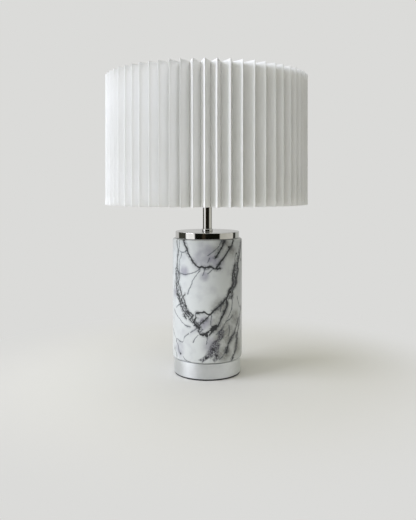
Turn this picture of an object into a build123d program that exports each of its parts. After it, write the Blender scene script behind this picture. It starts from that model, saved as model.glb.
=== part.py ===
from build123d import *
import os
from math import asin, cos, radians, sin, sqrt

# Column table lamp: a bored marble column between a satin metal base and a polished cap, with a
# short stem, a switched screw lamp holder, a frosted bulb and an accordion-pleated drum shade.
# Millimetres. +Z is up, the origin is the middle of the foot, and the front faces -Y.
os.makedirs("parts", exist_ok=True)

# ---- shade
shade_diameter = 300.0  # over the outer folds
shade_height = 187.5
pleat_count = 60
pleat_depth = 24.0  # radial, from the outer folds to the inner folds
pleat_phase = -1.1  # degrees from the front to the nearest outer fold
sheet_thickness = 0.5
wire_diameter = 3.0
ring_inset = 4.0  # from each rim of the pleated sheet to the middle of its wire ring
ring_clearance = 0.1  # between a wire ring and what it is fixed to
spoke_count = 3
spoke_drop = 41.3  # from the fitter plate down to the lower ring
spoke_weld = 3.0  # length let into the edge of the fitter plate
spoke_flat_inner = 13.0  # level length beside the fitter plate
spoke_flat_outer = 11.0  # level length beside the lower ring
spoke_bend_radius = 9.0
fitter_diameter = 62.0
fitter_thickness = 1.5
fitter_clearance = 0.5  # round the lamp holder

# ---- foot and base
pad_thickness = 2.0
pad_inset = 1.0  # of the pad's edge from the base's side
base_diameter = 99.0
base_height = 22.0
base_wall = 2.0
base_edge_chamfer = 0.6
ballast_clearance = 0.3
ballast_roof = 3.5  # metal left over the recess that holds the nut
recess_diameter = 46.0
cord_slot_width = 18.0

# ---- cord inlet
bush_bore_diameter = 7.0
bush_neck_diameter = 10.0
bush_flange_diameter = 14.0
bush_flange_thickness = 2.2
bush_neck_length = 10.0
bush_clearance = 0.1
bush_nut_across_flats = 14.0
bush_nut_thickness = 3.0

# ---- tie rod
rod_diameter = 9.8
rod_wall = 1.3
rod_clearance = 0.4  # in the bores that it only passes through
thread_clearance = 0.1  # in what is screwed onto it
rod_tail = 1.0  # below the bottom nut
washer_diameter = 30.0
washer_thickness = 1.5
lock_washer_diameter = 17.0
lock_washer_thickness = 1.0
lock_washer_gap = 1.6
nut_across_flats = 14.0
nut_thickness = 4.0

# ---- column and cap
column_diameter = 103.5
column_height = 175.0
column_edge_radius = 3.5
column_bore_diameter = 20.0
spigot_clearance = 0.3
spigot_length = 5.5
lower_gasket_thickness = 0.6
lower_gasket_inset = 2.5  # of its edge from the base's side
upper_gasket_thickness = 0.4
cap_diameter = 95.0
cap_height = 9.4
cap_edge_chamfer = 0.5
cap_land = 6.5  # width of the cap's outer seat on the column
cap_hub_diameter = 30.0
cap_relief_depth = 5.0

# ---- stem
collar_diameter = 16.5
collar_height = 3.4
collar_edge_radius = 1.2
stem_diameter = 14.0
stem_wall = 1.7
stem_length = 50.0

# ---- lamp holder
cup_diameter = 40.0
cup_height = 30.0
cup_wall = 1.3
cup_corner_radius = 5.0
cup_hub_diameter = 17.0
cup_hub_engagement = 7.0  # thread length of the tie rod inside the hub
grub_diameter = 3.0
grub_clearance = 0.05
grub_socket_across_flats = 1.5
grub_socket_depth = 1.6
sleeve_diameter = 38.8
sleeve_wall = 2.0
sleeve_height = 30.0
sleeve_skirt_depth = 3.0
sleeve_skirt_clearance = 0.2
sleeve_lip = 1.8
flange_diameter = 46.0
flange_thickness = 2.0
insulator_clearance = 0.2
insulator_drop = 18.0  # below the top of the cup
leg_count = 3
leg_width = 6.0
leg_depth = 2.5
leg_inset = 4.0  # of the legs' middles from the insulator's side
socket_floor_rise = 7.0  # above the top of the cup
screw_shell_bore = 26.8
screw_shell_wall = 0.5
screw_shell_height = 19.0
shell_clearance = 0.2
clamp_ring_diameter = 54.0
clamp_ring_height = 7.0
clamp_ring_wall = 2.0
clamp_ring_clearance = 0.2
clamp_notch_count = 8
clamp_notch_diameter = 5.0
contact_width = 5.0
contact_thickness = 0.5
contact_rise = 1.5  # of the middle contact's crown above the socket floor
contact_crown = 6.0
contact_foot = 3.0
contact_slope = 2.0
contact_gap = 0.1
shell_contact_width = 2.4
terminal_size = 6.0
terminal_spacing = 18.0
terminal_offset = 7.0  # behind the middle
terminal_proud = 2.0
terminal_clearance = 0.1
terminal_screw_diameter = 2.6
terminal_head_diameter = 4.6
terminal_head_height = 1.6

# ---- switch
switch_drop = 11.0  # of the switch axis below the top of the cup
rotor_diameter = 9.2
rotor_length = 9.0
rotor_flat_depth = 1.0
rotor_clearance = 0.3
shaft_diameter = 4.0
shaft_clearance = 0.08  # running, in the hole in the cup
shaft_fit = 0.05  # where the rotor and the knob are pressed on
knob_gap = 3.0  # between the cup and the knob
knob_diameter = 10.0
knob_length = 13.0
knob_flute_count = 12
knob_flute_diameter = 1.6
knob_edge_chamfer = 0.8
knob_socket_depth = 8.0
shaft_end_gap = 0.3

# ---- bulb
bulb_diameter = 60.0
bulb_length = 106.0
bulb_cap_diameter = 26.0
bulb_cap_wall = 0.4
bulb_cap_height = 22.0
bulb_neck_clearance = 0.2
bulb_neck_insert = 6.0
bulb_shoulder_radius = 26.0
bulb_glass_wall = 1.0
bulb_contact_diameter = 9.0
bulb_contact_height = 1.0
bulb_insulator_height = 4.0
bulb_rim_radius = 1.5  # where the cap turns in to the insulator

# ---- levels, from the foot up
pad_top = pad_thickness
base_top = pad_top + base_height
plate_under = base_top - base_wall
recess_roof = plate_under - ballast_roof
washer_bottom = recess_roof - washer_thickness
lock_washer_bottom = washer_bottom - lock_washer_thickness
nut_bottom = lock_washer_bottom - nut_thickness
column_bottom = base_top + lower_gasket_thickness
column_top = column_bottom + column_height
cap_bottom = column_top + upper_gasket_thickness
cap_top = cap_bottom + cap_height
collar_top = cap_top + collar_height
stem_top = collar_top + stem_length
cup_top = stem_top + cup_height
flange_top = cup_top + flange_thickness
fitter_middle = flange_top + fitter_thickness / 2
fitter_top = flange_top + fitter_thickness
sleeve_top = cup_top + sleeve_height
insulator_bottom = cup_top - insulator_drop
socket_floor = cup_top + socket_floor_rise
insulator_top = sleeve_top - sleeve_lip
switch_level = cup_top - switch_drop
contact_top = socket_floor + contact_rise
lower_ring_level = fitter_middle - spoke_drop
shade_bottom = lower_ring_level - ring_inset
shade_top = shade_bottom + shade_height
upper_ring_level = shade_top - ring_inset
cord_level = pad_top + base_height / 2

# ---- radii shared between pieces
base_radius = base_diameter / 2
rod_radius = rod_diameter / 2
rod_passage = rod_radius + rod_clearance
rod_thread = rod_radius + thread_clearance
bore_radius = column_bore_diameter / 2
spigot_radius = bore_radius - spigot_clearance
cup_inner_radius = cup_diameter / 2 - cup_wall
insulator_radius = sleeve_diameter / 2 - sleeve_wall - insulator_clearance
shell_outer_radius = screw_shell_bore / 2 + screw_shell_wall
socket_radius = shell_outer_radius + shell_clearance
flange_radius = flange_diameter / 2
wire_radius = wire_diameter / 2
fold_outer_radius = shade_diameter / 2
fold_inner_radius = fold_outer_radius - pleat_depth
half_pleat = 180 / pleat_count

# A pleat's flat faces meet at these half angles, so the sheet keeps its thickness along each face.
crest_half_angle = Vector(
    fold_outer_radius - fold_inner_radius * cos(radians(half_pleat)),
    fold_inner_radius * sin(radians(half_pleat)),
).get_angle(Vector(1, 0))
valley_half_angle = Vector(
    fold_outer_radius * cos(radians(half_pleat)) - fold_inner_radius,
    fold_outer_radius * sin(radians(half_pleat)),
).get_angle(Vector(1, 0))
crest_inside = fold_outer_radius - sheet_thickness / sin(radians(crest_half_angle))
valley_inside = fold_inner_radius - sheet_thickness / sin(radians(valley_half_angle))
wire_ring_radius = valley_inside - ring_clearance - wire_radius


def tube(height, outer, inner, level):
    """A plain tube or washer standing on a level."""
    with BuildPart() as piece:
        with BuildSketch(Plane.XY.offset(level)):
            Circle(outer)
            Circle(inner, mode=Mode.SUBTRACT)
        extrude(amount=height)
    return piece


def zigzag(crest, valley):
    """The corners of a folded loop: outer folds at one radius, inner folds at the other."""
    corners = []
    for fold in range(pleat_count):
        angle = radians(-90 + pleat_phase + 2 * half_pleat * fold)
        middle = angle + radians(half_pleat)
        corners.append((crest * cos(angle), crest * sin(angle)))
        corners.append((valley * cos(middle), valley * sin(middle)))
    return corners


# ---------------------------------------------------------------- foot and base
# Felt pad glued under the base.
with BuildPart() as foot_pad:
    with BuildSketch():
        Circle(base_radius - pad_inset)
    extrude(amount=pad_thickness)
foot_pad.part.label = "foot_pad"
export_step(foot_pad.part, "parts/foot_pad.step")

# Turned cup, open below, whose boss centres the column. The cord inlet is in its back.
with BuildPart() as base_ring:
    with BuildSketch(Plane.XY.offset(pad_top)):
        Circle(base_radius)
    extrude(amount=base_height)
    chamfer(base_ring.edges().filter_by(GeomType.CIRCLE), base_edge_chamfer)
    with BuildSketch(Plane.XY.offset(pad_top)):
        Circle(base_radius - base_wall)
    extrude(amount=base_height - base_wall, mode=Mode.SUBTRACT)
    with BuildSketch(Plane.XY.offset(plate_under)):
        Circle(spigot_radius)
    extrude(amount=base_wall + lower_gasket_thickness + spigot_length)
    with BuildSketch(Plane.XY.offset(pad_top)):
        Circle(rod_passage)
    extrude(amount=base_height + lower_gasket_thickness + spigot_length, mode=Mode.SUBTRACT)
    with BuildSketch(Plane.XZ.offset(-base_radius)):
        with Locations((0, cord_level)):
            Circle(bush_neck_diameter / 2 + bush_clearance)
    extrude(amount=2 * base_wall, mode=Mode.SUBTRACT)
base_ring.part.label = "base_ring"
export_step(base_ring.part, "parts/base_ring.step")

# Cast weight that fills the base. A recess holds the nut, and a slot lets the cord in.
ballast_radius = base_radius - base_wall - ballast_clearance
with BuildPart() as ballast_disc:
    with BuildSketch(Plane.XY.offset(pad_top)):
        Circle(ballast_radius)
    extrude(amount=plate_under - pad_top)
    with BuildSketch(Plane.XY.offset(pad_top)):
        Circle(recess_diameter / 2)
    extrude(amount=recess_roof - pad_top, mode=Mode.SUBTRACT)
    with BuildSketch(Plane.XY.offset(pad_top)):
        with Locations((0, (washer_diameter / 2 + base_radius) / 2)):
            Rectangle(cord_slot_width, base_radius - washer_diameter / 2)
        Circle(rod_passage)
    extrude(amount=plate_under - pad_top, mode=Mode.SUBTRACT)
ballast_disc.part.label = "ballast_disc"
export_step(ballast_disc.part, "parts/ballast_disc.step")

# Bush that guides the cord through the back of the base, and the nut that holds it.
inlet_face = Plane((0, base_radius + bush_flange_thickness, cord_level), x_dir=(1, 0, 0), z_dir=(0, 1, 0))
flange_sag = base_radius - sqrt(base_radius**2 - (bush_flange_diameter / 2) ** 2)
with BuildPart() as cord_bush:
    with BuildSketch(inlet_face):
        Circle(bush_flange_diameter / 2)
    extrude(amount=-bush_flange_thickness - flange_sag)
    chamfer(cord_bush.edges().group_by(Axis.Y)[-1], bush_flange_thickness / 2)
    # The flange lies on a round wall, so its back is cut to that wall.
    with BuildSketch(Plane.XY):
        Circle(base_radius)
    extrude(amount=base_top, mode=Mode.SUBTRACT)
    with BuildSketch(inlet_face):
        Circle(bush_neck_diameter / 2)
    extrude(amount=-bush_flange_thickness - bush_neck_length)
    with BuildSketch(inlet_face):
        Circle(bush_bore_diameter / 2)
    extrude(amount=-bush_flange_thickness - bush_neck_length, mode=Mode.SUBTRACT)
cord_bush.part.label = "cord_bush"
export_step(cord_bush.part, "parts/cord_bush.step")

with BuildPart() as cord_bush_nut:
    with BuildSketch(Plane.XZ.offset(-(base_radius - 2 * base_wall))):
        with Locations((0, cord_level)):
            RegularPolygon(bush_nut_across_flats / 2, 6, major_radius=False)
            Circle(bush_neck_diameter / 2 + bush_clearance, mode=Mode.SUBTRACT)
    extrude(amount=bush_nut_thickness)
cord_bush_nut.part.label = "cord_bush_nut"
export_step(cord_bush_nut.part, "parts/cord_bush_nut.step")

# ---------------------------------------------------------------- tie rod and its fastenings
rod_bottom = nut_bottom - rod_tail
rod_top = stem_top + cup_hub_engagement
threaded_tube = tube(rod_top - rod_bottom, rod_radius, rod_radius - rod_wall, rod_bottom)
threaded_tube.part.label = "threaded_tube"
export_step(threaded_tube.part, "parts/threaded_tube.step")

bottom_washer = tube(washer_thickness, washer_diameter / 2, rod_passage, washer_bottom)
bottom_washer.part.label = "bottom_washer"
export_step(bottom_washer.part, "parts/bottom_washer.step")

# Split ring that keeps the nut from turning.
with BuildPart() as lock_washer:
    with BuildSketch(Plane.XY.offset(lock_washer_bottom)):
        Circle(lock_washer_diameter / 2)
        Circle(rod_passage, mode=Mode.SUBTRACT)
        with Locations((lock_washer_diameter / 2, 0)):
            Rectangle(lock_washer_diameter, lock_washer_gap, mode=Mode.SUBTRACT)
    extrude(amount=lock_washer_thickness)
lock_washer.part.label = "lock_washer"
export_step(lock_washer.part, "parts/lock_washer.step")

with BuildPart() as bottom_nut:
    with BuildSketch(Plane.XY.offset(nut_bottom)):
        RegularPolygon(nut_across_flats / 2, 6, major_radius=False)
        Circle(rod_thread, mode=Mode.SUBTRACT)
    extrude(amount=nut_thickness)
bottom_nut.part.label = "bottom_nut"
export_step(bottom_nut.part, "parts/bottom_nut.step")

# ---------------------------------------------------------------- column and cap
lower_gasket = tube(lower_gasket_thickness, base_radius - lower_gasket_inset, bore_radius, base_top)
lower_gasket.part.label = "lower_gasket"
export_step(lower_gasket.part, "parts/lower_gasket.step")

# One turned and bored piece of marble with eased edges.
with BuildPart() as marble_column:
    with BuildSketch(Plane.XY.offset(column_bottom)):
        Circle(column_diameter / 2)
    extrude(amount=column_height)
    fillet(marble_column.edges().filter_by(GeomType.CIRCLE), column_edge_radius)
    with BuildSketch(Plane.XY.offset(column_bottom)):
        Circle(bore_radius)
    extrude(amount=column_height, mode=Mode.SUBTRACT)
marble_column.part.label = "marble_column"
export_step(marble_column.part, "parts/marble_column.step")

cap_land_inner = cap_diameter / 2 - cap_land
upper_gasket = tube(
    upper_gasket_thickness,
    cap_diameter / 2 - 2 * cap_edge_chamfer,
    cap_land_inner,
    column_top,
)
upper_gasket.part.label = "upper_gasket"
export_step(upper_gasket.part, "parts/upper_gasket.step")

# Turned cap, relieved underneath, with a spigot that fits the column's bore.
with BuildPart() as top_cap:
    with BuildSketch(Plane.XY.offset(cap_bottom)):
        Circle(cap_diameter / 2)
    extrude(amount=cap_height)
    chamfer(top_cap.edges().filter_by(GeomType.CIRCLE), cap_edge_chamfer)
    with BuildSketch(Plane.XY.offset(cap_bottom)):
        Circle(cap_land_inner)
        Circle(cap_hub_diameter / 2, mode=Mode.SUBTRACT)
    extrude(amount=cap_relief_depth, mode=Mode.SUBTRACT)
    with BuildSketch(Plane.XY.offset(cap_bottom)):
        Circle(spigot_radius)
    extrude(amount=-spigot_length)
    with BuildSketch(Plane.XY.offset(cap_bottom - spigot_length)):
        Circle(rod_passage)
    extrude(amount=spigot_length + cap_height, mode=Mode.SUBTRACT)
top_cap.part.label = "top_cap"
export_step(top_cap.part, "parts/top_cap.step")

# ---------------------------------------------------------------- stem
with BuildPart() as stem_collar:
    with BuildSketch(Plane.XY.offset(cap_top)):
        Circle(collar_diameter / 2)
    extrude(amount=collar_height)
    fillet(stem_collar.edges().group_by(Axis.Z)[-1], collar_edge_radius)
    with BuildSketch(Plane.XY.offset(cap_top)):
        Circle(rod_passage)
    extrude(amount=collar_height, mode=Mode.SUBTRACT)
stem_collar.part.label = "stem_collar"
export_step(stem_collar.part, "parts/stem_collar.step")

stem_tube = tube(stem_length, stem_diameter / 2, stem_diameter / 2 - stem_wall, collar_top)
stem_tube.part.label = "stem_tube"
export_step(stem_tube.part, "parts/stem_tube.step")

# ---------------------------------------------------------------- lamp holder
# Drawn metal cup with a threaded hub. The switch shaft comes out of its front.
cup_floor = stem_top + cup_wall
grub_level = (cup_floor + stem_top + cup_hub_engagement) / 2
with BuildPart() as holder_cup:
    with BuildSketch(Plane.XY.offset(stem_top)):
        Circle(cup_diameter / 2)
    extrude(amount=cup_height)
    fillet(holder_cup.edges().group_by(Axis.Z)[0], cup_corner_radius)
    offset(amount=-cup_wall, openings=holder_cup.faces().sort_by(Axis.Z)[-1])
    with BuildSketch(Plane.XY.offset(stem_top)):
        Circle(cup_hub_diameter / 2)
    extrude(amount=cup_hub_engagement)
    with BuildSketch(Plane.XY.offset(stem_top)):
        Circle(rod_thread)
    extrude(amount=cup_hub_engagement, mode=Mode.SUBTRACT)
    with BuildSketch(Plane.XZ):
        with Locations((0, switch_level)):
            Circle(shaft_diameter / 2 + shaft_clearance)
    extrude(amount=cup_diameter, mode=Mode.SUBTRACT)
    with BuildSketch(Plane.XZ):
        with Locations((0, grub_level)):
            Circle(grub_diameter / 2 + grub_clearance)
    extrude(amount=-cup_hub_diameter / 2, mode=Mode.SUBTRACT)
holder_cup.part.label = "holder_cup"
export_step(holder_cup.part, "parts/holder_cup.step")

# Headless screw across the hub's wall, which locks the cup on the tie rod.
with BuildPart() as grub_screw:
    with BuildSketch(Plane.XZ.offset(-cup_hub_diameter / 2)):
        with Locations((0, grub_level)):
            Circle(grub_diameter / 2)
    extrude(amount=cup_hub_diameter / 2 - rod_thread)
    with BuildSketch(Plane.XZ.offset(-cup_hub_diameter / 2)):
        with Locations((0, grub_level)):
            RegularPolygon(grub_socket_across_flats / 2, 6, major_radius=False)
    extrude(amount=grub_socket_depth, mode=Mode.SUBTRACT)
grub_screw.part.label = "grub_screw"
export_step(grub_screw.part, "parts/grub_screw.step")

# Moulded sleeve: a skirt inside the cup, a flange for the shade, and a lip over the insulator.
sleeve_bore = sleeve_diameter / 2 - sleeve_wall
with BuildPart() as holder_sleeve:
    with BuildSketch(Plane.XY.offset(cup_top)):
        Circle(sleeve_diameter / 2)
    extrude(amount=sleeve_height)
    with BuildSketch(Plane.XY.offset(cup_top)):
        Circle(flange_radius)
    extrude(amount=flange_thickness)
    with BuildSketch(Plane.XY.offset(cup_top)):
        Circle(cup_inner_radius - sleeve_skirt_clearance)
    extrude(amount=-sleeve_skirt_depth)
    with BuildSketch(Plane.XY.offset(cup_top - sleeve_skirt_depth)):
        Circle(sleeve_bore)
    extrude(amount=sleeve_skirt_depth + sleeve_height - sleeve_lip, mode=Mode.SUBTRACT)
    with BuildSketch(Plane.XY.offset(insulator_top)):
        Circle(socket_radius)
    extrude(amount=sleeve_lip, mode=Mode.SUBTRACT)
holder_sleeve.part.label = "holder_sleeve"
export_step(holder_sleeve.part, "parts/holder_sleeve.step")

# Ring that screws down over the sleeve and holds the shade's fitter on the flange.
with BuildPart() as clamp_ring:
    with BuildSketch(Plane.XY.offset(fitter_top)):
        Circle(clamp_ring_diameter / 2)
        with PolarLocations(clamp_ring_diameter / 2, clamp_notch_count):
            Circle(clamp_notch_diameter / 2, mode=Mode.SUBTRACT)
    extrude(amount=clamp_ring_wall)
    with BuildSketch(Plane.XY.offset(fitter_top)):
        Circle(sleeve_diameter / 2 + clamp_ring_clearance + clamp_ring_wall)
    extrude(amount=clamp_ring_height)
    with BuildSketch(Plane.XY.offset(fitter_top)):
        Circle(sleeve_diameter / 2 + clamp_ring_clearance)
    extrude(amount=clamp_ring_height, mode=Mode.SUBTRACT)
clamp_ring.part.label = "clamp_ring"
export_step(clamp_ring.part, "parts/clamp_ring.step")

# Ceramic block that stands on the cup's floor. It holds the socket, the switch and the terminals.
rotor_radius = rotor_diameter / 2
rotor_front = sqrt(cup_inner_radius**2 - rotor_radius**2) - rotor_clearance
rotor_back = rotor_front - rotor_length
terminal_bottom = insulator_bottom - terminal_proud
with BuildPart() as socket_insulator:
    with BuildSketch(Plane.XY.offset(insulator_bottom)):
        Circle(insulator_radius)
    extrude(amount=insulator_top - insulator_bottom)
    with BuildSketch(Plane.XY.offset(cup_floor)):
        with PolarLocations(insulator_radius - leg_inset, leg_count, start_angle=90):
            Rectangle(leg_depth, leg_width)
    extrude(amount=insulator_bottom - cup_floor)
    with BuildSketch(Plane.XY.offset(socket_floor)):
        Circle(socket_radius)
    extrude(amount=insulator_top - socket_floor, mode=Mode.SUBTRACT)
    with BuildSketch(Plane.XZ.offset(rotor_back - rotor_clearance)):
        with Locations((0, switch_level)):
            Circle(rotor_radius + rotor_clearance)
    extrude(amount=cup_diameter, mode=Mode.SUBTRACT)
    with BuildSketch(Plane.XY.offset(insulator_bottom)):
        with Locations((-terminal_spacing / 2, terminal_offset), (terminal_spacing / 2, terminal_offset)):
            Rectangle(terminal_size + 2 * terminal_clearance, terminal_size + 2 * terminal_clearance)
    extrude(amount=terminal_size - terminal_proud, mode=Mode.SUBTRACT)
socket_insulator.part.label = "socket_insulator"
export_step(socket_insulator.part, "parts/socket_insulator.step")

# Two brass terminals let into the underside of the block, each with its screw.
with BuildPart() as terminal_blocks:
    with BuildSketch(Plane.XY.offset(terminal_bottom)):
        with Locations((-terminal_spacing / 2, terminal_offset), (terminal_spacing / 2, terminal_offset)):
            Rectangle(terminal_size, terminal_size)
            Circle(terminal_screw_diameter / 2 + terminal_clearance, mode=Mode.SUBTRACT)
    extrude(amount=terminal_size)
terminal_blocks.part.label = "terminal_blocks"
export_step(terminal_blocks.part, "parts/terminal_blocks.step")

with BuildPart() as terminal_screws:
    with BuildSketch(Plane.XY.offset(terminal_bottom)):
        with Locations((-terminal_spacing / 2, terminal_offset), (terminal_spacing / 2, terminal_offset)):
            Circle(terminal_head_diameter / 2)
    extrude(amount=-terminal_head_height)
    with BuildSketch(Plane.XY.offset(terminal_bottom)):
        with Locations((-terminal_spacing / 2, terminal_offset), (terminal_spacing / 2, terminal_offset)):
            Circle(terminal_screw_diameter / 2)
    extrude(amount=terminal_size - terminal_clearance)
terminal_screws.part.label = "terminal_screws"
export_step(terminal_screws.part, "parts/terminal_screws.step")

# The screw shell stands on a flat ring that takes its current. The other contact is a sprung crown.
shell_contact = tube(
    contact_thickness,
    shell_outer_radius,
    shell_outer_radius - shell_contact_width,
    socket_floor,
)
shell_contact.part.label = "shell_contact"
export_step(shell_contact.part, "parts/shell_contact.step")

screw_shell = tube(
    screw_shell_height,
    shell_outer_radius,
    screw_shell_bore / 2,
    socket_floor + contact_thickness,
)
screw_shell.part.label = "screw_shell"
export_step(screw_shell.part, "parts/screw_shell.step")

with BuildPart() as centre_contact:
    with BuildSketch(Plane.XZ.offset(-contact_width / 2)):
        with BuildLine():
            crown = contact_crown / 2
            shoulder = crown + contact_slope
            foot = shoulder + contact_foot
            Polyline(
                (-foot, socket_floor),
                (-shoulder, socket_floor),
                (-crown, contact_top - contact_thickness),
                (crown, contact_top - contact_thickness),
                (shoulder, socket_floor),
                (foot, socket_floor),
                (foot, socket_floor + contact_thickness),
                (shoulder, socket_floor + contact_thickness),
                (crown, contact_top),
                (-crown, contact_top),
                (-shoulder, socket_floor + contact_thickness),
                (-foot, socket_floor + contact_thickness),
                close=True,
            )
        make_face()
    extrude(amount=contact_width)
centre_contact.part.label = "centre_contact"
export_step(centre_contact.part, "parts/centre_contact.step")

# ---------------------------------------------------------------- switch
# Rotor with a flat that works the contacts, pressed on the inner end of the shaft.
with BuildPart() as switch_rotor:
    with BuildSketch(Plane.XZ.offset(rotor_back)):
        with Locations((0, switch_level)):
            Circle(rotor_radius)
            Circle(shaft_diameter / 2 + shaft_fit, mode=Mode.SUBTRACT)
        with Locations((0, switch_level + rotor_radius)):
            Rectangle(rotor_diameter, 2 * rotor_flat_depth, mode=Mode.SUBTRACT)
    extrude(amount=rotor_length)
switch_rotor.part.label = "switch_rotor"
export_step(switch_rotor.part, "parts/switch_rotor.step")

knob_back = cup_diameter / 2 + knob_gap
shaft_front = knob_back + knob_socket_depth - shaft_end_gap
with BuildPart() as switch_shaft:
    with BuildSketch(Plane.XZ.offset(rotor_back)):
        with Locations((0, switch_level)):
            Circle(shaft_diameter / 2)
    extrude(amount=shaft_front - rotor_back)
switch_shaft.part.label = "switch_shaft"
export_step(switch_shaft.part, "parts/switch_shaft.step")

# Moulded knob, fluted for the fingers.
with BuildPart() as switch_knob:
    with BuildSketch(Plane.XZ.offset(knob_back)):
        with Locations((0, switch_level)):
            Circle(knob_diameter / 2)
    extrude(amount=knob_length)
    chamfer(switch_knob.edges().group_by(Axis.Y)[0], knob_edge_chamfer)
    with BuildSketch(Plane.XZ.offset(knob_back)):
        with Locations((0, switch_level)):
            with PolarLocations(knob_diameter / 2, knob_flute_count):
                Circle(knob_flute_diameter / 2)
    extrude(amount=knob_length, mode=Mode.SUBTRACT)
    with BuildSketch(Plane.XZ.offset(knob_back)):
        with Locations((0, switch_level)):
            Circle(shaft_diameter / 2 + shaft_fit)
    extrude(amount=knob_socket_depth, mode=Mode.SUBTRACT)
switch_knob.part.label = "switch_knob"
export_step(switch_knob.part, "parts/switch_knob.step")

# ---------------------------------------------------------------- bulb
bulb_bottom = contact_top + contact_gap
bulb_seat = bulb_bottom + bulb_contact_height
bulb_cap_bottom = bulb_seat + bulb_insulator_height
bulb_cap_top = bulb_cap_bottom + bulb_cap_height - bulb_insulator_height
bulb_top = bulb_bottom + bulb_length
bulb_radius = bulb_diameter / 2
bulb_neck_radius = bulb_cap_diameter / 2 - bulb_cap_wall - bulb_neck_clearance
bulb_middle = bulb_top - bulb_radius

with BuildPart() as bulb_contact:
    with BuildSketch(Plane.XY.offset(bulb_bottom)):
        Circle(bulb_contact_diameter / 2)
    extrude(amount=bulb_contact_height)
bulb_contact.part.label = "bulb_contact"
export_step(bulb_contact.part, "parts/bulb_contact.step")

with BuildPart() as bulb_insulator:
    with BuildSketch(Plane.XY.offset(bulb_seat)):
        Circle(bulb_contact_diameter / 2 + bulb_rim_radius)
    with BuildSketch(Plane.XY.offset(bulb_cap_bottom)):
        Circle(bulb_cap_diameter / 2 - bulb_rim_radius)
    loft()
bulb_insulator.part.label = "bulb_insulator"
export_step(bulb_insulator.part, "parts/bulb_insulator.step")

with BuildPart() as bulb_cap:
    with BuildSketch(Plane.XY.offset(bulb_cap_bottom)):
        Circle(bulb_cap_diameter / 2)
    extrude(amount=bulb_cap_top - bulb_cap_bottom)
    fillet(bulb_cap.edges().group_by(Axis.Z)[0], bulb_rim_radius)
    offset(amount=-bulb_cap_wall, openings=bulb_cap.faces().sort_by(Axis.Z)[-1])
bulb_cap.part.label = "bulb_cap"
export_step(bulb_cap.part, "parts/bulb_cap.step")


def bulb_outline(ball, neck, shoulder, bottom):
    """Half outline of the glass: a neck that sweeps out into a ball."""
    # The shoulder arc bends the other way and meets both the ball and the neck smoothly.
    across = neck + shoulder
    down = sqrt((ball + shoulder) ** 2 - across**2)
    share = ball / (ball + shoulder)
    joint = (across * share, bulb_middle - down * share)
    neck_end = (neck, bulb_middle - down)
    with BuildLine(Plane.XZ) as outline:
        Line((0, bottom), (neck, bottom))
        Line((neck, bottom), neck_end)
        TangentArc(neck_end, joint, tangent=(0, 1))
        ThreePointArc(joint, (ball, bulb_middle), (0, bulb_middle + ball))
        Line((0, bulb_middle + ball), (0, bottom))
    return outline


# Frosted envelope, blown hollow.
glass_bottom = bulb_cap_top - bulb_neck_insert
glass_outside = bulb_outline(bulb_radius, bulb_neck_radius, bulb_shoulder_radius, glass_bottom)
glass_inside = bulb_outline(
    bulb_radius - bulb_glass_wall,
    bulb_neck_radius - bulb_glass_wall,
    bulb_shoulder_radius + bulb_glass_wall,
    glass_bottom,
)
with BuildPart() as bulb_glass:
    with BuildSketch(Plane.XZ):
        make_face(glass_outside.edges())
        make_face(glass_inside.edges(), mode=Mode.SUBTRACT)
    revolve(axis=Axis.Z)
bulb_glass.part.label = "bulb_glass"
export_step(bulb_glass.part, "parts/bulb_glass.step")

# ---------------------------------------------------------------- shade
# Two wire rings keep the inner folds round.
for ring_name, ring_level in (("lower_wire_ring", lower_ring_level), ("upper_wire_ring", upper_ring_level)):
    with BuildPart() as wire_ring:
        with Locations((0, 0, ring_level)):
            Torus(wire_ring_radius, wire_radius)
    wire_ring.part.label = ring_name
    export_step(wire_ring.part, f"parts/{ring_name}.step")

# One cranked wire arm, from the fitter plate down to the lower ring.
arm_end = wire_ring_radius - wire_radius - ring_clearance
arm_start = fitter_diameter / 2 - spoke_weld
with BuildPart() as spoke:
    with BuildLine(Plane.XZ):
        spoke_path = FilletPolyline(
            (arm_start, fitter_middle),
            (fitter_diameter / 2 + spoke_flat_inner, fitter_middle),
            (arm_end - spoke_flat_outer, lower_ring_level),
            (arm_end, lower_ring_level),
            radius=spoke_bend_radius,
        )
    with BuildSketch(Plane.YZ.offset(arm_start)):
        with Locations((0, fitter_middle)):
            Circle(wire_radius)
    sweep(path=spoke_path)

# Fitter plate with its welded arms: the plate goes round the lamp holder, under the clamp ring.
with BuildPart() as fitter_spider:
    with BuildSketch(Plane.XY.offset(flange_top)):
        Circle(fitter_diameter / 2)
    extrude(amount=fitter_thickness)
    with PolarLocations(0, spoke_count, start_angle=90):
        add(spoke.part)
    with BuildSketch(Plane.XY.offset(flange_top)):
        Circle(sleeve_diameter / 2 + fitter_clearance)
    extrude(amount=fitter_thickness, mode=Mode.SUBTRACT)
fitter_spider.part.label = "fitter_spider"
export_step(fitter_spider.part, "parts/fitter_spider.step")

# One sheet folded into sharp upright pleats and closed into a drum.
with BuildPart() as pleated_shade:
    with BuildSketch(Plane.XY.offset(shade_bottom)):
        with BuildLine():
            Polyline(*zigzag(fold_outer_radius, fold_inner_radius), close=True)
        make_face()
        with BuildLine():
            Polyline(*zigzag(crest_inside, valley_inside), close=True)
        make_face(mode=Mode.SUBTRACT)
    extrude(amount=shade_height)
pleated_shade.part.label = "pleated_shade"
export_step(pleated_shade.part, "parts/pleated_shade.step")
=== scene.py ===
import math
import random

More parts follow.
